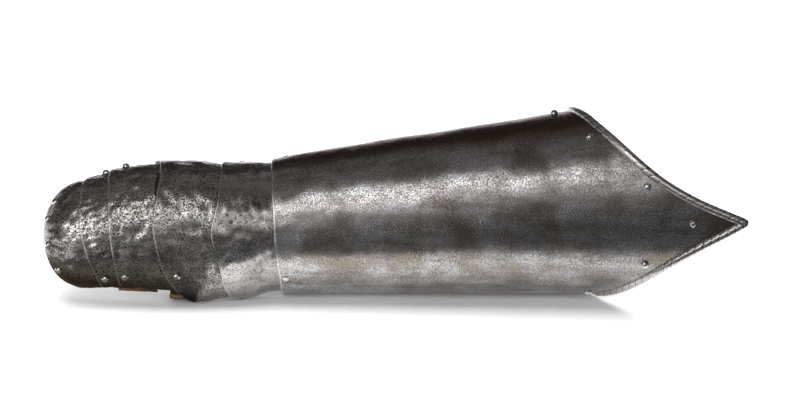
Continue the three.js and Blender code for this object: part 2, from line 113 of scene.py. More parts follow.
RIM = [(0, 0.994), (15.6, 0.921), (30.6, 0.871), (54, 0.82), (80, 0.78), (112, 0.754), (180, 0.75)]


def between(table, x, column=1):
    """A column of a table at x by monotone cubic steps, as in the solids."""
    rows = np.asarray(table, float)
    keys, values = rows[:, 0], rows[:, column]
    x = np.clip(np.asarray(x, float), keys[0], keys[-1])
    slopes = np.diff(values) / np.diff(keys)
    before, after = slopes[:-1], slopes[1:]
    total = np.where(before + after == 0, 1, before + after)
    inner = np.where(before * after <= 0, 0, 2 * before * after / total)
    tangents = np.concatenate([slopes[:1], inner, slopes[-1:]])
    i = np.clip(np.searchsorted(keys, x, side="right") - 1, 0, len(keys) - 2)
    span = keys[i + 1] - keys[i]
    t = (x - keys[i]) / span
    return (
        values[i] * (2 * t**3 - 3 * t**2 + 1)
        + tangents[i] * span * (t**3 - 2 * t**2 + t)
        + values[i + 1] * (3 * t**2 - 2 * t**3)
        + tangents[i + 1] * span * (t**3 - t**2)
    )


# Where the zero of the skin lies in the frame: the box of all the CAD nodes stands over the origin
SHIFT = np.array([-0.2492078, -0.0036481, 0.0022131])


def skin_point(layer, x, phi, out=0.0):
    """Points of a layer's outer face at x, phi degrees round the section, out metres outside it."""
    x, phi, out = np.broadcast_arrays(np.asarray(x, float), np.asarray(phi, float), np.asarray(out, float))
    short = np.clip((DOME_START - x) / (DOME_START + out), 0, 1)
    dome = (1 - short**DOME_BLUNTNESS) ** (1 / DOME_BLUNTNESS)
    wide = (between(SKIN, x, 1) + layer * (PLATE + SIDE_GAP) + out) * dome
    deep = (between(SKIN, x, 2) + layer * (PLATE + BACK_GAP) + out) * dome
    turn = np.radians(phi)
    palm = between(SKIN, x, 6)
    back = deep * np.cos(turn) * (1 + palm * np.minimum(np.cos(turn), 0) ** 2)
    side = wide * np.maximum(np.sin(turn), -1 + palm * SOLE)
    roll = between(SKIN, x, 5)
    y = -between(SKIN, x, 4) - back * np.cos(roll) + side * np.sin(roll)
    z = between(SKIN, x, 3) + back * np.sin(roll) + side * np.cos(roll)
    return np.stack([x, y, z], -1) + SHIFT


def knuckle_flare(x, phi):
    """How far the metacarpal plate's front edge stands off its layer."""
    near = np.clip(1 - (x - PLATES["metacarpal_plate"]["front"](phi)) / FLARE_REACH, 0, 1)
    low = (phi + 98) / 11
    high = (92 - phi) / 24
    return KNUCKLE_FLARE * near**2 * np.clip(np.minimum(low, high), 0, 1)


def edge_at(table, foremost):
    return lambda phi: foremost * LENGTH + between(table, phi) * HAND_HALF_WIDTH


def rim_at(phi):
    turn = np.abs(np.asarray(phi, float) - POINT_TURN)
    return between(RIM, np.minimum(turn, 360 - turn)) * LENGTH - BORDER_RADIUS


PLATES = {
    "fingertip_lame": {"layer": 0, "front": None, "rear": 0.099, "low": -94, "high": 100,
                       "body": "fingertips"},
    "middle_lame": {"layer": 1, "front": edge_at(MIDDLE_EDGE, 0.053), "rear": 0.129, "low": -76, "high": 104,
                    "body": "middle_fingers"},
    "upper_lame": {"layer": 2, "front": edge_at(UPPER_EDGE, 0.0936), "rear": 0.205, "low": -66, "high": 106,
                   "body": "upper_fingers"},
    "metacarpal_plate": {"layer": 3, "front": edge_at(KNUCKLE_EDGE, 0.1583), "rear": 0.298, "low": -100,
                         "high": 112, "body": "hand"},
    "wrist_lame": {"layer": 4, "front": edge_at(WRIST_EDGE, 0.2403), "rear": 0.36, "low": -101, "high": 112,
                   "body": "wrist"},
}
cuff_front = edge_at(CUFF_EDGE, 0.3247)


def waves(seed, x, phi, sizes, count=26):
    """Smooth hand-hammered unevenness, about -1 to 1. sizes: shortest and longest wave in metres."""
    rng = np.random.default_rng(seed)
    arc = np.radians(phi) * 0.05
    total = np.zeros(np.broadcast(x, arc).shape)
    for _ in range(count):
        wave = rng.uniform(*sizes)
        heading = rng.uniform(0, 2 * math.pi)
        along = x * math.cos(heading) + arc * math.sin(heading)
        total += np.sin(2 * math.pi * along / wave + rng.uniform(0, 6.3))
    return total / math.sqrt(count)


def new_piece(name, points, faces, material, body, nodes=(), uv=None, edge=None):
    """A mesh piece from arrays of points and quads, which rides on a body and stands for CAD nodes."""
    mesh = bpy.data.meshes.new(name)
    mesh.from_pydata(points.reshape(-1, 3).tolist(), [], faces.tolist())
    mesh.validate()
    if edge is not None:
        wear = mesh.attributes.new("edge_wear", "FLOAT", "POINT")
        wear.data.foreach_set("value", np.asarray(edge, np.float32).ravel())
    if uv is not None:
        layer = mesh.uv_layers.new(name="skin")
        loops = np.zeros(len(mesh.loops), np.int32)
        mesh.loops.foreach_get("vertex_index", loops)
        layer.data.foreach_set("uv", np.asarray(uv, np.float32).reshape(-1, 2)[loops].ravel())
    mesh.polygons.foreach_set("use_smooth", np.full(len(mesh.polygons), True))
    mesh.materials.append(material)
    piece = bpy.data.objects.new(name, mesh)
    bpy.context.scene.collection.objects.link(piece)
    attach(piece, body)
    if nodes:
        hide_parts(*nodes)
    return piece


def grid_faces(rows, columns, round_rows=False, round_columns=False, flip=False):
    """Quads of a grid of points, rows by columns."""
    i = np.arange(rows if round_rows else rows - 1)
    j = np.arange(columns if round_columns else columns - 1)
    i, j = np.meshgrid(i, j, indexing="ij")
    a = i * columns + j
    b = ((i + 1) % rows) * columns + j
    c = ((i + 1) % rows) * columns + (j + 1) % columns
    d = i * columns + (j + 1) % columns
    quads = np.stack([a, b, c, d] if not flip else [d, c, b, a], -1)
    return quads.reshape(-1, 4)


def edge_profile(rows, thickness):
    """A sheet's profile from its outer rear round its front edge to its inner rear: run, out, wear."""
    run = np.linspace(1, 0, rows) ** 1.25
    half = thickness / 2
    bend = np.linspace(0, math.pi, 7)[1:-1]
    profile = [(u, 0.0, 0.0, u) for u in run]
    profile += [(0.0, -half + half * math.cos(a), -half * math.sin(a), 0.0) for a in bend]
    profile += [(u, -thickness, 0.0, u) for u in run[::-1]]
    return profile


def plate_piece(name, material):
    """A hammered plate with a rounded front edge, over the same skin as its solid."""
    plate = PLATES[name]
    middle = skin_point(plate["layer"], plate["rear"] * LENGTH, np.linspace(plate["low"], plate["high"], 60))
    arc = np.linalg.norm(np.diff(middle, axis=0), axis=1).sum()
    columns = int(arc / 0.0008)
    phi = np.linspace(plate["low"], plate["high"], columns)
    rear = plate["rear"] * LENGTH
    points, uv, wear = [], [], []
    dents = WRIST_DENTS if name == "wrist_lame" else LAME_DENTS
    order = list(PLATES)
    behind = order.index(name) + 1
    covered = cuff_front(phi) if behind == len(order) else PLATES[order[behind]]["front"](phi)
    front = np.zeros(columns) if plate["front"] is None else plate["front"](phi)
    rows = int(np.mean(rear - front) / 0.0008)
    if plate["front"] is None:
        run = np.linspace(1, 0, rows) ** 1.7
        profile = [(u, 0.0, 0.0) for u in run] + [(u, -PLATE, 0.0) for u in run[::-1]]
    else:
        profile = [row[:3] for row in edge_profile(rows, PLATE)]
    for share, out, ahead in profile:
        if plate["front"] is None:
            start = np.full(columns, -out)
        else:
            start = front
        x = start + (rear - start) * share + ahead
        lift = knuckle_flare(x, phi) if name == "metacarpal_plate" else 0
        uneven = dents * waves(sum(map(ord, name)), x, phi, (0.006, 0.02))
        fade = np.clip((x - start) / 0.004, 0, 1) * np.clip((covered - x) / 0.004, 0, 1) * (1 + out / PLATE)
        points.append(skin_point(plate["layer"], x, phi, out + lift + uneven * fade))
        uv.append(np.stack([x / LENGTH, phi / 360], -1))
        gap = x - start if plate["front"] is not None else np.full(columns, 0.05)
        sides = np.minimum(phi - plate["low"], plate["high"] - phi) * 0.0008
        wear.append(np.exp(-np.maximum(np.minimum(gap, sides + 0.0005), 0) / 0.0011))
    points = np.array(points)
    count = len(profile)
    faces = [grid_faces(count, columns, flip=True)]
    rear_loop = np.arange(columns - 1)
    last = (count - 1) * columns
    faces.append(np.stack([rear_loop, last + rear_loop, last + rear_loop + 1, rear_loop + 1], -1))
    half = count // 2
    for column, turned in ((0, False), (columns - 1, True)):
        i = np.arange(half - 1 if count % 2 == 0 else half)
        a, b = i * columns + column, (i + 1) * columns + column
        c, d = (count - 2 - i) * columns + column, (count - 1 - i) * columns + column
        quads = np.stack([d, c, b, a] if turned else [a, b, c, d], -1)
        faces.append(quads[(b != c)])
    return new_piece(name + "_hammered", points, np.concatenate(faces), material,
                     plate["body"], [name], np.array(uv), np.array(wear))


def cuff_piece(material):
    """The cuff's sheet: one long dented tube with its rim cut to a point."""
    phi = POINT_TURN + np.linspace(-180, 180, 301)[:-1]
    rows = 160
    profile = [row[:3] for row in edge_profile(rows, PLATE)]
    points, uv, wear = [], [], []
    wrapped = np.where(phi < -180, phi + 360, phi)
    front, rear = cuff_front(wrapped), rim_at(phi)
    for share, out, ahead in profile:
        x = front + (rear - front) * share + ahead
        uneven = 0.00022 * waves(5, x, phi, (0.025, 0.07)) + 0.00006 * waves(9, x, phi, (0.008, 0.016))
        fade = np.clip((x - front) / 0.006, 0, 1) * np.clip((rear - x) / 0.01, 0, 1) * (1 + out / PLATE)
        points.append(skin_point(CUFF_LAYER, x, phi, out + uneven * fade))
        uv.append(np.stack([x / LENGTH, phi / 360], -1))
        wear.append(np.exp(-np.maximum(x - front, 0) / 0.0009))
    points = np.array(points)
    faces = [grid_faces(len(profile), len(phi), round_columns=True, flip=True)]
    return new_piece("cuff_sheet", points, np.concatenate(faces), material, "forearm",
                     ["cuff"], np.array(uv), np.array(wear))


def border_piece(material):
    """The border: the sheet's edge turned over a wire, and filed to look like rope."""
    fine = POINT_TURN + np.linspace(-180, 180, 4001)
    line = skin_point(CUFF_LAYER, rim_at(fine), fine, BORDER_RISE - PLATE)
    run = np.concatenate([[0], np.cumsum(np.linalg.norm(np.diff(line, axis=0), axis=1))])
    count = int(run[-1] / 0.0006)
    turns = round(run[-1] / ROPE_PITCH)
    phi = np.interp(np.linspace(0, run[-1], count + 1)[:-1], run, fine)
    centre = skin_point(CUFF_LAYER, rim_at(phi), phi, BORDER_RISE - PLATE)
    along = np.roll(centre, -2, 0) - np.roll(centre, 2, 0)
    along /= np.linalg.norm(along, axis=1)[:, None]
    outward = skin_point(CUFF_LAYER, rim_at(phi), phi, 0.001) - skin_point(CUFF_LAYER, rim_at(phi), phi, 0)
    outward -= (outward * along).sum(1)[:, None] * along
    outward /= np.linalg.norm(outward, axis=1)[:, None]
    across = np.cross(along, outward)
    sides = 28
    turn = np.linspace(0, 2 * math.pi, sides + 1)[:-1]
    step = np.arange(count) / count * turns
    phase = (step[:, None] + 2 * turn[None, :] / (2 * math.pi)) % 1
    groove = np.exp(-(((phase - 0.5) / 0.08) ** 2))
    wandering = waves(4, np.linspace(0, run[-1], count), 0 * phi, (0.02, 0.09))
    strength = np.clip(0.7 + 0.4 * wandering, 0.25, 1.2)
    groove *= strength[:, None]
    radius = BORDER_RADIUS * (1 - 0.11 * groove)
    points = (
        centre[:, None, :]
        + outward[:, None, :] * (radius * np.cos(turn))[..., None]
        + across[:, None, :] * (radius * np.sin(turn))[..., None]
    )
    faces = grid_faces(count, sides, round_rows=True, round_columns=True, flip=True)
    uv = np.stack(np.broadcast_arrays(step[:, None] / turns * 8, turn[None, :] / 6.2832), -1)
    return new_piece("cuff_roped_border", points, faces, material, "forearm", (), uv,
                     1 - groove)


def rivet_piece(name, outer, at, phi, material, body, flush=False, grip=PLATE):
    """A rivet with a smooth domed or flush head, a shank and a burr, square to its plate."""
    x = at * LENGTH
    layer = CUFF_LAYER if outer == "cuff" else PLATES[outer]["layer"]
    lift = float(knuckle_flare(x, phi)) if outer == "metacarpal_plate" else 0.0
    point = skin_point(layer, x, phi, lift)
    along = skin_point(layer, x + 0.002, phi, lift) - skin_point(layer, x - 0.002, phi, lift)
    around = skin_point(layer, x, phi + 2, lift) - skin_point(layer, x, phi - 2, lift)
    normal = np.cross(along, around)
    normal /= np.linalg.norm(normal)
    if np.dot(normal, skin_point(layer, x, phi, lift + 0.001) - point) < 0:
        normal = -normal
    radius, height = (FLUSH_RADIUS, FLUSH_HEIGHT) if flush else (DOME_RADIUS, DOME_HEIGHT)
    inside = -(grip + RIVET_GAP)
    profile = [(0.00001, inside - BURR_HEIGHT), (BURR_RADIUS * 0.8, inside - BURR_HEIGHT),
               (BURR_RADIUS, inside),
               (SHANK_RADIUS, inside), (SHANK_RADIUS, 0.00008), (radius, 0.00008)]
    profile += [
        (radius * math.cos(a) ** 0.9 if a < 1.57 else 0.00001, 0.00012 + (height + RIVET_GAP) * math.sin(a))
        for a in np.linspace(0.08, math.pi / 2, 9)
    ]
    rng = np.random.default_rng(sum(map(ord, name)))
    side = np.cross(normal, [1, 0, 0.01])
    side /= np.linalg.norm(side)
    other = np.cross(normal, side)
    turn = np.linspace(0, 2 * math.pi, 29)[:-1]
    lumps = 1 + 0.03 * np.cos(2 * turn + rng.uniform(0, 6)) + 0.02 * np.cos(3 * turn + rng.uniform(0, 6))
    rings = [
        point + normal * h + (side[None, :] * np.cos(turn)[:, None] + other[None, :] * np.sin(turn)[:, None])
        * (r * lumps)[:, None]
        for r, h in profile
    ]
    faces = grid_faces(len(rings), len(turn), round_columns=True)
    wear = np.repeat([[h > 0] for _, h in profile], len(turn), axis=1).astype(float)
    return new_piece(name + "_head", np.array(rings), faces, material, body, [name], None,
                     wear)


# What each rivet holds: outer plate, share of LENGTH, degrees round, flush head, body, grip in mm
RIVETS = {
    "lining_rivet_1": ("fingertip_lame", 0.0176, 50, False, "fingertips", 1.4),
    "lining_rivet_2": ("fingertip_lame", 0.0075, 28, False, "fingertips", 1.4),
    "lining_rivet_3": ("fingertip_lame", 0.0085, -27, False, "fingertips", 1.4),
    "lining_rivet_4": ("fingertip_lame", 0.0226, -61.5, False, "fingertips", 1.4),
    "fingertip_pivot_low": ("middle_lame", 0.0886, -57, False, "middle_fingers", 4.1),
    "fingertip_pivot_high": ("middle_lame", 0.0886, 85.5, False, "middle_fingers", 3.5),
    "middle_pivot_low": ("upper_lame", 0.117, -50, False, "upper_fingers", 4.1),
    "middle_pivot_high": ("upper_lame", 0.117, 87, False, "upper_fingers", 3.5),
    "upper_pivot_low": ("metacarpal_plate", 0.1904, -40, False, "hand", 4.2),
    "upper_pivot_high": ("metacarpal_plate", 0.1904, 103, True, "hand", 3.5),
    "hand_pivot_low": ("wrist_lame", 0.2814, -94, True, "wrist", 3.5),
    "hand_pivot_high": ("wrist_lame", 0.2814, 100, True, "wrist", 3.5),
    "wrist_pivot_low": ("cuff", 0.3436, -49, True, "forearm", 4.1),
    "wrist_pivot_high": ("cuff", 0.3436, 98, True, "forearm", 3.5),
    "strap_rivet_low": ("metacarpal_plate", 0.224, -80.8, True, "hand", 4.6),
    "strap_rivet_high": ("metacarpal_plate", 0.228, 103.4, True, "hand", 4.6),
    "rim_rivet_1": ("cuff", 0.915, -1.5, False, "forearm", 1.4),
    "rim_rivet_2": ("cuff", 0.851, 22.5, False, "forearm", 1.4),
    "rim_rivet_3": ("cuff", 0.771, 60.5, False, "forearm", 1.4),
    "rim_rivet_4": ("cuff", 0.723, 101, False, "forearm", 1.4),
    "rim_rivet_5": ("cuff", 0.849, -27.5, False, "forearm", 1.4),
    "rim_rivet_6": ("cuff", 0.771, -63, False, "forearm", 1.4),
    "rim_rivet_7": ("cuff", 0.722, -108, False, "forearm", 1.4),
    "rim_rivet_8": ("cuff", 0.717, -148, False, "forearm", 1.4),
    "rim_rivet_9": ("cuff", 0.717, 144, False, "forearm", 1.4),
}

# The leather pieces: the same tables as the solids
STRAP_EDGES = [
    (0, 0.179, 0.238), (0.15, 0.179, 0.236), (0.5, 0.188, 0.232), (0.8, 0.204, 0.24), (1, 0.21, 0.246),
]
STRAP_LOW = (-76, -92, 0.14)
STRAP_HIGH = (95, 109, 0.88)
STRAP_BULGE = 0.015
EDGING = [(0, 0.107, -83), (0.35, 0.136, -79), (0.6, 0.148, -58), (1, 0.162, -58)]
EDGING_LOW = -89


def creases(seed, u, v, depth):
    """Soft creases of worn leather."""
    rng = np.random.default_rng(seed)
    total = np.zeros(np.broadcast(u, v).shape)
    for _ in range(18):
        a, b = rng.uniform(-14, 14), rng.uniform(-60, 60)
        total += np.sin(a * u + b * v + rng.uniform(0, 6.3))
    return depth * total / 4.2


def leather_piece(name, outer, inner, material, body, node):
    """A closed strip of leather from its outer and inner grids of points, with softened long edges."""
    rows, columns = outer.shape[:2]
    middle = (outer + inner) / 2
    soft = np.ones(rows)
    soft[0] = soft[-1] = 0.55
    outer = middle + (outer - middle) * soft[:, None, None]
    inner = middle + (inner - middle) * soft[:, None, None]
    ring = np.concatenate([outer, inner[::-1]])
    faces = [grid_faces(len(ring), columns, round_rows=True)]
    for column, turned in ((0, True), (columns - 1, False)):
        i = np.arange(rows - 1)
        a, b = i * columns + column, (i + 1) * columns + column
        c, d = (2 * rows - 2 - i) * columns + column, (2 * rows - 1 - i) * columns + column
        faces.append(np.stack([d, c, b, a] if turned else [a, b, c, d], -1))
    uv = np.stack(np.meshgrid(np.linspace(0, 1, len(ring)), np.linspace(0, 4, columns), indexing="ij"), -1)
    return new_piece(name, ring, np.concatenate(faces), material, body, [node], uv)


def strap_grid(u, v, out):
    """Points of the palm strap, u across it and v along it, out metres outside its outer face."""
    table = np.array(STRAP_EDGES)
    x = LENGTH * (between(table, v, 1) * (1 - u) + between(table, v, 2) * u)
    low_end, low_leaves, low_run = STRAP_LOW
    high_end, high_leaves, high_run = STRAP_HIGH

    def on_plate(phi):
        return skin_point(3, x, phi, knuckle_flare(x, phi) + out - PLATE - LEATHER_GAP)

    def unit(step):
        step[..., 0] = 0
        return step / np.linalg.norm(step, axis=-1)[..., None]

    lower = on_plate(low_end + (low_leaves - low_end) * np.clip(v / low_run, 0, 1))
    upper = on_plate(high_leaves + (high_end - high_leaves) * np.clip((v - high_run) / (1 - high_run), 0, 1))
    t = np.clip((v - low_run) / (high_run - low_run), 0, 1)[..., None]
    low, high = on_plate(low_leaves + 0 * v), on_plate(high_leaves + 0 * v)
    pull = 4 * (STRAP_BULGE + out)
    pull = np.asarray(pull)[..., None]
    leave = unit(on_plate(low_leaves - 1 + 0 * v) - low) * pull
    arrive = unit(high - on_plate(high_leaves + 1 + 0 * v)) * pull
    across = (
        low * (2 * t**3 - 3 * t**2 + 1) + leave * (t**3 - 2 * t**2 + t) + high * (3 * t**2 - 2 * t**3)
        + arrive * (t**3 - t**2)
    )
    across[..., 0] = x + SHIFT[0]
    inside = v[..., None] <= low_run
    beyond = v[..., None] >= high_run
    return np.where(inside, lower, np.where(beyond, upper, across))


def strap_piece(material):
    u, v = np.meshgrid(np.linspace(0, 1, 16), np.linspace(0, 1, 150), indexing="ij")
    wrinkle = creases(3, u, v, 0.00018)
    under = strap_grid(u, v, wrinkle * 0.5 - LEATHER)
    return leather_piece("palm_strap_leather", strap_grid(u, v, wrinkle), under,
                         material, "hand", "palm_strap")


def edging_piece(material):
    u, v = np.meshgrid(np.linspace(0, 1, 60), np.linspace(0, 1, 18), indexing="ij")
    x = between(EDGING, u, 1) * LENGTH
    top = between(np.array(EDGING), u, 2)
    phi = EDGING_LOW + (top - EDGING_LOW) * v
    wrinkle = creases(8, u * 2, v, 0.00015)
    outer = skin_point(2, x, phi, wrinkle - PLATE - LEATHER_GAP)
    inner = skin_point(2, x, phi, wrinkle * 0.5 - PLATE - LEATHER_GAP - LEATHER)
    return leather_piece("finger_edging_leather", np.swapaxes(outer, 0, 1), np.swapaxes(inner, 0, 1),
                         material,
                         "upper_fingers", "finger_edging")


def surface_group(name, inputs, outputs):
    """An empty node group with named inputs (name, kind, default) and outputs (name, kind)."""
    group = bpy.data.node_groups.new(name, "ShaderNodeTree")
    for title, kind, default in inputs:
        socket = group.interface.new_socket(title, in_out="INPUT", socket_type=kind)
        socket.default_value = default
    for title, kind in outputs:
        group.interface.new_socket(title, in_out="OUTPUT", socket_type=kind)
    return group, group.nodes.new("NodeGroupInput"), group.nodes.new("NodeGroupOutput")


def link_noise(tree, coordinates, scale, detail=3.0, roughness=0.5, kind="ShaderNodeTexNoise"):
    noise = tree.nodes.new(kind)
    if kind == "ShaderNodeTexNoise":
        noise.inputs["Detail"].default_value = detail
        noise.inputs["Roughness"].default_value = roughness
    if isinstance(scale, (int, float)):
        noise.inputs["Scale"].default_value = scale
    else:
        tree.links.new(scale, noise.inputs["Scale"])
    tree.links.new(coordinates, noise.inputs["Vector"])
    return noise


def link_range(tree, value, low, high, to_low=0.0, to_high=1.0):
    step = tree.nodes.new("ShaderNodeMapRange")
    step.interpolation_type = "SMOOTHSTEP"
    step.inputs["From Min"].default_value = low
    step.inputs["From Max"].default_value = high
    step.inputs["To Min"].default_value = to_low
    step.inputs["To Max"].default_value = to_high
    tree.links.new(value, step.inputs["Value"])
    return step.outputs["Result"]


def link_math(tree, operation, first, second):
    node = tree.nodes.new("ShaderNodeMath")
    node.operation = operation
    for socket, value in zip(node.inputs, (first, second)):
        if isinstance(value, (int, float)):
            socket.default_value = value
        else:
            tree.links.new(value, socket)
    return node.outputs["Value"]


def link_mix(tree, factor, first, second):
    node = tree.nodes.new("ShaderNodeMix")
    node.data_type = "RGBA"
    if isinstance(factor, (int, float)):
        node.inputs[0].default_value = factor
    else:
        tree.links.new(factor, node.inputs[0])
    for socket, value in zip((node.inputs[6], node.inputs[7]), (first, second)):
        if isinstance(value, tuple):
            socket.default_value = value
        else:
            tree.links.new(value, socket)
    return node.outputs[2]


def build_surface_effect():
    """Steel that has been hammered, has rusted in pits and has been cleaned: masks and a height."""
    group, start, end = surface_group(
        "worn_steel_surface",
        [("Place", "NodeSocketVector", (0, 0, 0)), ("Pit Scale", "NodeSocketFloat", 520.0),
         ("Pit Reach", "NodeSocketFloat", 0.5), ("Blotch Scale", "NodeSocketFloat", 45.0)],
        [("Pits", "NodeSocketFloat"), ("Blotches", "NodeSocketFloat"), ("Speckle", "NodeSocketFloat"),
         ("Streaks", "NodeSocketFloat"), ("Height", "NodeSocketFloat")],
    )
    tree = group
    place = start.outputs["Place"]
    large = link_noise(tree, place, start.outputs["Pit Scale"], 4.0, 0.62)
    reach = link_math(tree, "SUBTRACT", large.outputs["Fac"], start.outputs["Pit Reach"])
    pits = link_range(tree, reach, -0.03, 0.10)
    blotch = link_noise(tree, place, start.outputs["Blotch Scale"], 6.0, 0.6)
    blotches = link_range(tree, blotch.outputs["Fac"], 0.42, 0.66)
    sand = link_noise(tree, place, 1000.0, 3.0, 0.7)
    speckle = link_range(tree, sand.outputs["Fac"], 0.35, 0.68)
    stretch = tree.nodes.new("ShaderNodeVectorMath")
    stretch.operation = "MULTIPLY"
    stretch.inputs[1].default_value = (14.0, 160.0, 160.0)
    tree.links.new(place, stretch.inputs[0])
    streak = link_noise(tree, stretch.outputs["Vector"], 1.0, 3.0, 0.55)
    streaks = link_range(tree, streak.outputs["Fac"], 0.35, 0.7)
    deep = link_math(tree, "MULTIPLY", pits, -1.0)
    fine = link_math(tree, "MULTIPLY", speckle, 0.25)
    height = link_math(tree, "ADD", deep, fine)
    for title, value in (("Pits", pits), ("Blotches", blotches), ("Speckle", speckle), ("Streaks", streaks),
                         ("Height", height)):
        tree.links.new(value, end.inputs[title])
    return group


def new_material(name):
    material = bpy.data.materials.new(name)
    material.use_nodes = True
    tree = material.node_tree
    tree.nodes.clear()
    shader = tree.nodes.new("ShaderNodeBsdfPrincipled")
    output = tree.nodes.new("ShaderNodeOutputMaterial")
    tree.links.new(shader.outputs["BSDF"], output.inputs["Surface"])
    place = tree.nodes.new("ShaderNodeTexCoord").outputs["Object"]
    return material, tree, shader, place


def add_surface(tree, place, effect, pit_scale, pit_reach, blotch_scale):
    node = tree.nodes.new("ShaderNodeGroup")
    node.node_tree = effect
    node.inputs["Pit Scale"].default_value = pit_scale
    node.inputs["Pit Reach"].default_value = pit_reach
    node.inputs["Blotch Scale"].default_value = blotch_scale
    tree.links.new(place, node.inputs["Place"])
    return node.outputs


def add_bump(tree, shader, height, distance, strength=1.0):
    bump = tree.nodes.new("ShaderNodeBump")
    bump.inputs["Distance"].default_value = distance
    bump.inputs["Strength"].default_value = strength
    tree.links.new(height, bump.inputs["Height"])
    tree.links.new(bump.outputs["Normal"], shader.inputs["Normal"])


def edge_wear(tree, low, high):
    wear = tree.nodes.new("ShaderNodeAttribute")
    wear.attribute_name = "edge_wear"
    return link_range(tree, wear.outputs["Fac"], low, high)


def turn_round_section(tree):
    """The angle round the section, in turns, from the middle of the back of the hand."""
    skin = tree.nodes.new("ShaderNodeUVMap")
    skin.uv_map = "skin"
    split = tree.nodes.new("ShaderNodeSeparateXYZ")
    tree.links.new(skin.outputs["UV"], split.inputs["Vector"])
    return split.outputs["Y"]


def near_spot(tree, place, point, reach, soft):
    """A mask that is 1 round a point and fades at reach."""
    away = tree.nodes.new("ShaderNodeVectorMath")
    away.operation = "DISTANCE"
    away.inputs[1].default_value = point
    tree.links.new(place, away.inputs[0])
    return link_range(tree, away.outputs["Value"], reach, reach + soft, 1.0, 0.0)


def hammered_steel(effect, name, bright, pit_reach, pit_depth, patina_and_painted_reflection, dark_spots_and_painted_shade=()):
    """The lames and the metacarpal plate: bright steel full of dark pits, browner low down and on top,
    partly patina and partly painted reflection of the dark surroundings.
    """
    material, tree, shader, place = new_material(name)
    marks = add_surface(tree, place, effect, 850.0, pit_reach, 60.0)
    steel = link_mix(tree, marks["Blotches"], bright, tuple(0.62 * c for c in bright[:3]) + (1,))
    # Browner low down and on top: partly patina, partly painted reflection of the dark floor and studio that
    # these sides face
    low = link_range(tree, turn_round_section(tree), -0.20, -0.08, 1.0, 0.0)
    high = link_range(tree, turn_round_section(tree), 0.15, 0.24)
    side = link_math(tree, "MULTIPLY", link_math(tree, "MAXIMUM", low, high), patina_and_painted_reflection)
    tarnish_and_painted_reflection = link_math(tree, "MAXIMUM", side, link_math(tree, "MULTIPLY", marks["Streaks"], 0.5))
    brown = link_mix(tree, tarnish_and_painted_reflection, steel, (0.13, 0.092, 0.068, 1))
    pitted = link_mix(tree, marks["Pits"], brown, (0.045, 0.034, 0.026, 1))
    worn = link_mix(tree, edge_wear(tree, 0.4, 0.9), pitted, (0.5, 0.49, 0.47, 1))
    # Dark spots mixed into the colour: small dark marks on the wrist lame, and painted shade in the gap
    # beside the knuckle edge on the upper lame
    for point, reach in dark_spots_and_painted_shade:
        mark = near_spot(tree, place, point, reach, reach * 0.7)
        worn = link_mix(tree, link_math(tree, "MULTIPLY", mark, 0.85), worn, (0.05, 0.045, 0.042, 1))
    tree.links.new(worn, shader.inputs["Base Color"])
    rough = link_range(tree, marks["Pits"], 0.0, 1.0, 0.22, 0.42)
    tree.links.new(rough, shader.inputs["Roughness"])
    shader.inputs["Metallic"].default_value = 1.0
    add_bump(tree, shader, marks["Height"], pit_depth)
    return material


# Painted shade: dark spots on the upper lame along the knuckle edge, where shade falls in the gap under the
# metacarpal plate
PAINTED_GAP_SHADE = [
    (-0.1668, -0.0300, 0.0788), (-0.1670, -0.0272, 0.0820), (-0.1671, -0.0242, 0.0850),
    (-0.1670, -0.0210, 0.0876), (-0.1664, -0.0172, 0.0903), (-0.1655, -0.0132, 0.0928),
    (-0.1642, -0.0092, 0.0948),
]

# Stains on the cuff: where, how far they reach, and their colour
CUFF_STAINS = [
    ((0.0174, -0.0530, 0.0473), 0.006, (0.035, 0.028, 0.024, 1)),
    ((0.0264, -0.0540, 0.0485), 0.004, (0.05, 0.035, 0.03, 1)),
    ((-0.0773, -0.0388, 0.0195), 0.006, (0.10, 0.055, 0.035, 1)),
    ((-0.0690, -0.0393, 0.0193), 0.004, (0.10, 0.06, 0.04, 1)),
    ((0.0387, -0.0511, 0.0827), 0.007, (0.10, 0.07, 0.065, 1)),
    ((0.0290, -0.0480, 0.0850), 0.005, (0.12, 0.08, 0.07, 1)),
    ((0.0882, -0.0316, 0.1185), 0.008, (0.10, 0.055, 0.045, 1)),
]


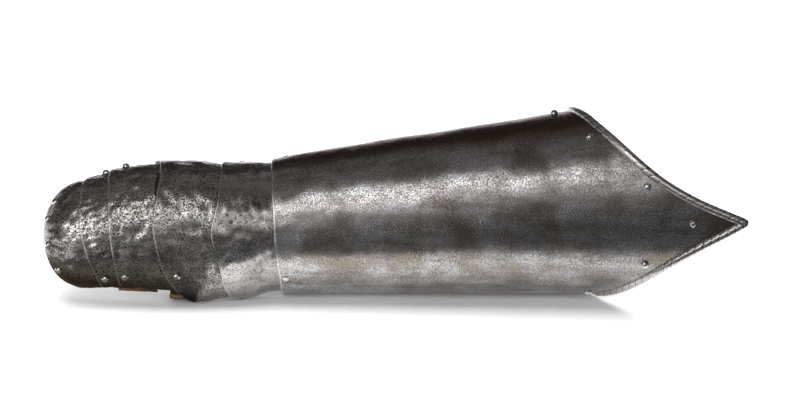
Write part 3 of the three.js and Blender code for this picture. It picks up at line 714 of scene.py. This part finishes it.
def cuff_steel(effect):
    """The cuff: polished steel with fine speckle, streaks, stains and a brown upper side, partly patina and
    partly painted reflection of a dark warm surround.
    """
    material, tree, shader, place = new_material("cuff_steel")
    marks = add_surface(tree, place, effect, 300.0, 0.66, 34.0)
    steel = link_mix(tree, marks["Blotches"], (0.61, 0.61, 0.615, 1), (0.32, 0.305, 0.295, 1))
    streaks = link_math(tree, "MULTIPLY", marks["Streaks"], 0.55)
    streaked = link_mix(tree, streaks, steel, (0.22, 0.18, 0.15, 1))
    speckle = link_math(tree, "MULTIPLY", marks["Speckle"], 0.8)
    speckled = link_mix(tree, speckle, streaked, (0.11, 0.09, 0.08, 1))
    # Brown upper side: partly patina, partly painted reflection of a dark warm surround
    near_side = link_range(tree, turn_round_section(tree), 0.15, 0.20)
    far_side = link_range(tree, turn_round_section(tree), 0.24, 0.36, 1.0, 0.0)
    top = link_math(tree, "MULTIPLY", near_side, far_side)
    top_patina_and_painted_reflection = link_mix(tree, link_math(tree, "MULTIPLY", top, 0.85), speckled, (0.14, 0.078, 0.053, 1))
    band = link_range(tree, turn_round_section(tree), -0.115, -0.085)
    above = link_range(tree, turn_round_section(tree), -0.07, -0.04, 1.0, 0.0)
    stain = link_math(tree, "MULTIPLY", link_math(tree, "MULTIPLY", band, above), marks["Blotches"])
    olive = link_mix(tree, link_math(tree, "MULTIPLY", stain, 0.38), top_patina_and_painted_reflection, (0.30, 0.265, 0.19, 1))
    spots = link_mix(tree, marks["Pits"], olive, (0.12, 0.085, 0.065, 1))
    for point, reach, colour in CUFF_STAINS:
        round_stain = near_spot(tree, place, point, reach * 0.3, reach)
        stained = link_math(tree, "MULTIPLY", round_stain, marks["Speckle"])
        spots = link_mix(tree, stained, spots, colour)
    worn = link_mix(tree, edge_wear(tree, 0.3, 0.85), spots, (0.6, 0.6, 0.59, 1))
    tree.links.new(worn, shader.inputs["Base Color"])
    rough = link_range(tree, marks["Speckle"], 0.0, 1.0, 0.24, 0.40)
    tree.links.new(rough, shader.inputs["Roughness"])
    shader.inputs["Metallic"].default_value = 1.0
    add_bump(tree, shader, marks["Height"], 0.00008)
    return material


def border_steel(effect):
    """The roped border: bright ridges and dirt in the filed notches."""
    material, tree, shader, place = new_material("border_steel")
    marks = add_surface(tree, place, effect, 500.0, 0.6, 60.0)
    ridge = edge_wear(tree, 0.1, 0.9)
    steel = link_mix(tree, ridge, (0.12, 0.105, 0.09, 1), (0.74, 0.73, 0.715, 1))
    dirty = link_mix(tree, link_math(tree, "MULTIPLY", marks["Speckle"], 0.6), steel, (0.15, 0.125, 0.10, 1))
    tree.links.new(dirty, shader.inputs["Base Color"])
    shader.inputs["Metallic"].default_value = 1.0
    shader.inputs["Roughness"].default_value = 0.3
    add_bump(tree, shader, marks["Height"], 0.00005)
    return material


def rivet_steel(effect):
    material, tree, shader, place = new_material("rivet_polished_steel")
    marks = add_surface(tree, place, effect, 900.0, 0.6, 220.0)
    steel = link_mix(tree, link_math(tree, "MULTIPLY", marks["Blotches"], 0.5), (0.75, 0.75, 0.74, 1),
                     (0.3, 0.27, 0.24, 1))
    tree.links.new(steel, shader.inputs["Base Color"])
    shader.inputs["Metallic"].default_value = 1.0
    shader.inputs["Roughness"].default_value = 0.2
    add_bump(tree, shader, marks["Height"], 0.00003)
    return material


def old_leather(name, light, dark):
    material, tree, shader, place = new_material(name)
    grain = tree.nodes.new("ShaderNodeTexVoronoi")
    grain.inputs["Scale"].default_value = 900.0
    tree.links.new(place, grain.inputs["Vector"])
    patches = link_noise(tree, place, 120.0, 5.0, 0.6)
    tone = link_range(tree, patches.outputs["Fac"], 0.38, 0.62)
    colour = link_mix(tree, tone, light, dark)
    tree.links.new(colour, shader.inputs["Base Color"])
    shader.inputs["Roughness"].default_value = 0.62
    height = link_math(tree, "ADD", grain.outputs["Distance"], patches.outputs["Fac"])
    add_bump(tree, shader, height, 0.00012)
    return material


def dress_gauntlet():
    """Every piece of the gauntlet, each standing for its own solids."""
    effect = build_surface_effect()
    hammered = hammered_steel(effect, "lame_hammered_steel", (0.52, 0.515, 0.505, 1), 0.53, 0.00009, 0.9)
    knuckle = hammered_steel(effect, "knuckle_hammered_steel", (0.52, 0.515, 0.505, 1), 0.53, 0.0001, 0.5)
    smoother = hammered_steel(effect, "wrist_steel", (0.50, 0.495, 0.49, 1), 0.58, 0.00007, 0.35,
                              [((-0.1049, -0.0369, 0.0745), 0.0019), ((-0.1075, -0.0352, 0.0760), 0.0015),
                               ((-0.1183, -0.0411, 0.0715), 0.0009), ((-0.1155, -0.0432, 0.067), 0.0011)])
    # The upper lame's steel carries painted shade in the gap beside the knuckle edge
    upper_lame_painted_shade = hammered_steel(effect, "upper_lame_steel_painted_shade", (0.52, 0.515, 0.505, 1), 0.53, 0.00009, 0.9,
                            [(point, 0.0021) for point in PAINTED_GAP_SHADE])
    finish = {"metacarpal_plate": knuckle, "wrist_lame": smoother, "upper_lame": upper_lame_painted_shade}
    for name in PLATES:
        plate_piece(name, finish.get(name, hammered))
    finish["cuff"] = cuff_steel(effect)
    cuff_piece(finish["cuff"])
    border_piece(border_steel(effect))
    heads = rivet_steel(effect)
    for name, (outer, at, phi, flush, body, grip) in RIVETS.items():
        polish = finish.get(outer, hammered) if flush else heads
        rivet_piece(name, outer, at, phi, polish, body, flush, grip / 1000)
    strap_piece(old_leather("strap_leather_olive", (0.13, 0.085, 0.035, 1), (0.05, 0.03, 0.015, 1)))
    edging_piece(old_leather("edging_leather_brown", (0.10, 0.055, 0.03, 1), (0.035, 0.02, 0.012, 1)))


def soft_light(name, centre, aim, size, radiance, glossy=True, diffuse=True):
    """A rectangular light of a known radiance, at centre, facing aim. size: across and up, in metres."""
    data = bpy.data.lights.new(name, "AREA")
    data.shape = "RECTANGLE"
    data.size, data.size_y = size
    data.energy = math.pi * size[0] * size[1] * radiance
    light = bpy.data.objects.new(name, data)
    light.location = centre
    light.rotation_euler = (Vector(centre) - Vector(aim)).to_track_quat("Z", "Y").to_euler()
    light.visible_glossy = glossy
    light.visible_diffuse = diffuse
    bpy.context.scene.collection.objects.link(light)
    return light


def tilted_box(name, right, left, tall, rises, radiance):
    """A soft box one metre in front of the steel, from right to left, at these rises in degrees."""
    ends = [
        Vector((x, -0.03 - math.cos(math.radians(rise)), 0.07 + math.sin(math.radians(rise))))
        for x, rise in zip((right, left), rises)
    ]
    centre = (ends[0] + ends[1]) / 2
    light = soft_light(name, centre, (centre.x, -0.03, 0.07), ((ends[0] - ends[1]).length, tall), radiance,
                       diffuse=False)
    across = (ends[0] - ends[1]).normalized()
    facing = (centre - Vector((centre.x, -0.03, 0.07))).normalized()
    upward = facing.cross(across).normalized()
    light.rotation_euler = Matrix((across, upward, across.cross(upward))).transposed().to_euler()
    return light


def stage_panel(name, corners, colour, strength=0.0, seen=False):
    """A flat panel of the studio: the floor, or a card that only the steel mirrors."""
    mesh = bpy.data.meshes.new(name)
    mesh.from_pydata(corners, [], [tuple(range(len(corners)))])
    material = bpy.data.materials.new(name)
    material.use_nodes = True
    shader = material.node_tree.nodes["Principled BSDF"]
    shader.inputs["Base Color"].default_value = colour
    shader.inputs["Roughness"].default_value = 0.9
    shader.inputs["Specular IOR Level"].default_value = 0.0
    shader.inputs["Emission Color"].default_value = colour
    shader.inputs["Emission Strength"].default_value = strength
    mesh.materials.append(material)
    panel = bpy.data.objects.new(name, mesh)
    bpy.context.scene.collection.objects.link(panel)
    if not seen:
        panel.visible_camera = False
        panel.visible_diffuse = False
        panel.visible_shadow = False
        panel.visible_transmission = False
    return panel


def light_studio():
    """A white floor, soft boxes above and in front, and a dark card that the steel mirrors."""
    stage_panel("studio_floor", [(-6, -6, 0), (6, -6, 0), (6, 6, 0), (-6, 6, 0)], (0.9, 0.9, 0.905, 1),
                seen=True)
    stage_panel("front_card",
                [(-0.35, -3, 0.002), (3, -3, 0.002), (3, 0.132, 0.002), (-0.112, -0.114, 0.002),
                 (-0.162, 0.03, 0.002), (-0.35, 0.03, 0.002)],
                (0.05, 0.05, 0.05, 1))
    stage_panel("hand_card",
                [(-0.35, -0.1, 0.0025), (-0.14, -0.1, 0.0025), (-0.168, 0.03, 0.0025),
                 (-0.35, 0.03, 0.0025)],
                (0.09, 0.083, 0.072, 1), 0.7)
    stage_panel("back_panel", [(-3, 1.0, 0.0), (3, 1.0, 0.0), (3, 1.0, 0.26), (-3, 1.0, 0.26)],
                (0.8, 0.8, 0.82, 1), 0.30)
    middle = (0, -0.03, 0.07)
    soft_light("floor_fill", (0, 0.1, 2.5), (0, 0, 0), (3.2, 3.2), 4.6, glossy=False)
    soft_light("front_fill", (0, -2.2, 0.9), (0, 0, 0.05), (3.4, 1.4), 4.2, glossy=False)
    tilted_box("left_box", -0.165, -0.44, 0.34, (50, 43), 3.6)
    tilted_box("finger_box", -0.46, -1.2, 0.32, (31, 25), 4.0)
    tilted_box("right_box", 0.02, -0.160, 0.42, (33, 46), 0.72)
    tilted_box("hand_box", 0.5, 0.025, 0.30, (29, 30), 1.35)
    tilted_box("lower_box", 0.6, -1.2, 0.44, (22, 17), 0.20)
    soft_light("overhead", (0, -0.05, 1.3), middle, (2.2, 0.8), 0.10, diffuse=False)
    soft_light("back_strip", (0, 0.37, 0.98), middle, (1.6, 0.05), 0.55, diffuse=False)
    world = bpy.data.worlds.new("studio_air")
    world.use_nodes = True
    world.node_tree.nodes["Background"].inputs["Color"].default_value = (0.060, 0.054, 0.052, 1)
    bpy.context.scene.world = world


def place_camera():
    """The photograph's view: square to the length, from 20 degrees above the floor, and far off."""
    distance, rise = 5.0, math.radians(20)
    aim = Vector((0.0033, -0.0082, 0.0652))
    data = bpy.data.cameras.new("photo_camera")
    data.sensor_width = 36.0
    data.lens = 318.0
    camera = bpy.data.objects.new("photo_camera", data)
    camera.location = aim + Vector((0, -distance * math.cos(rise), distance * math.sin(rise)))
    camera.rotation_euler = (camera.location - aim).to_track_quat("Z", "Y").to_euler()
    bpy.context.scene.collection.objects.link(camera)
    bpy.context.scene.camera = camera
    bpy.context.scene.view_settings.view_transform = "Standard"


dress_gauntlet()
light_studio()
place_camera()
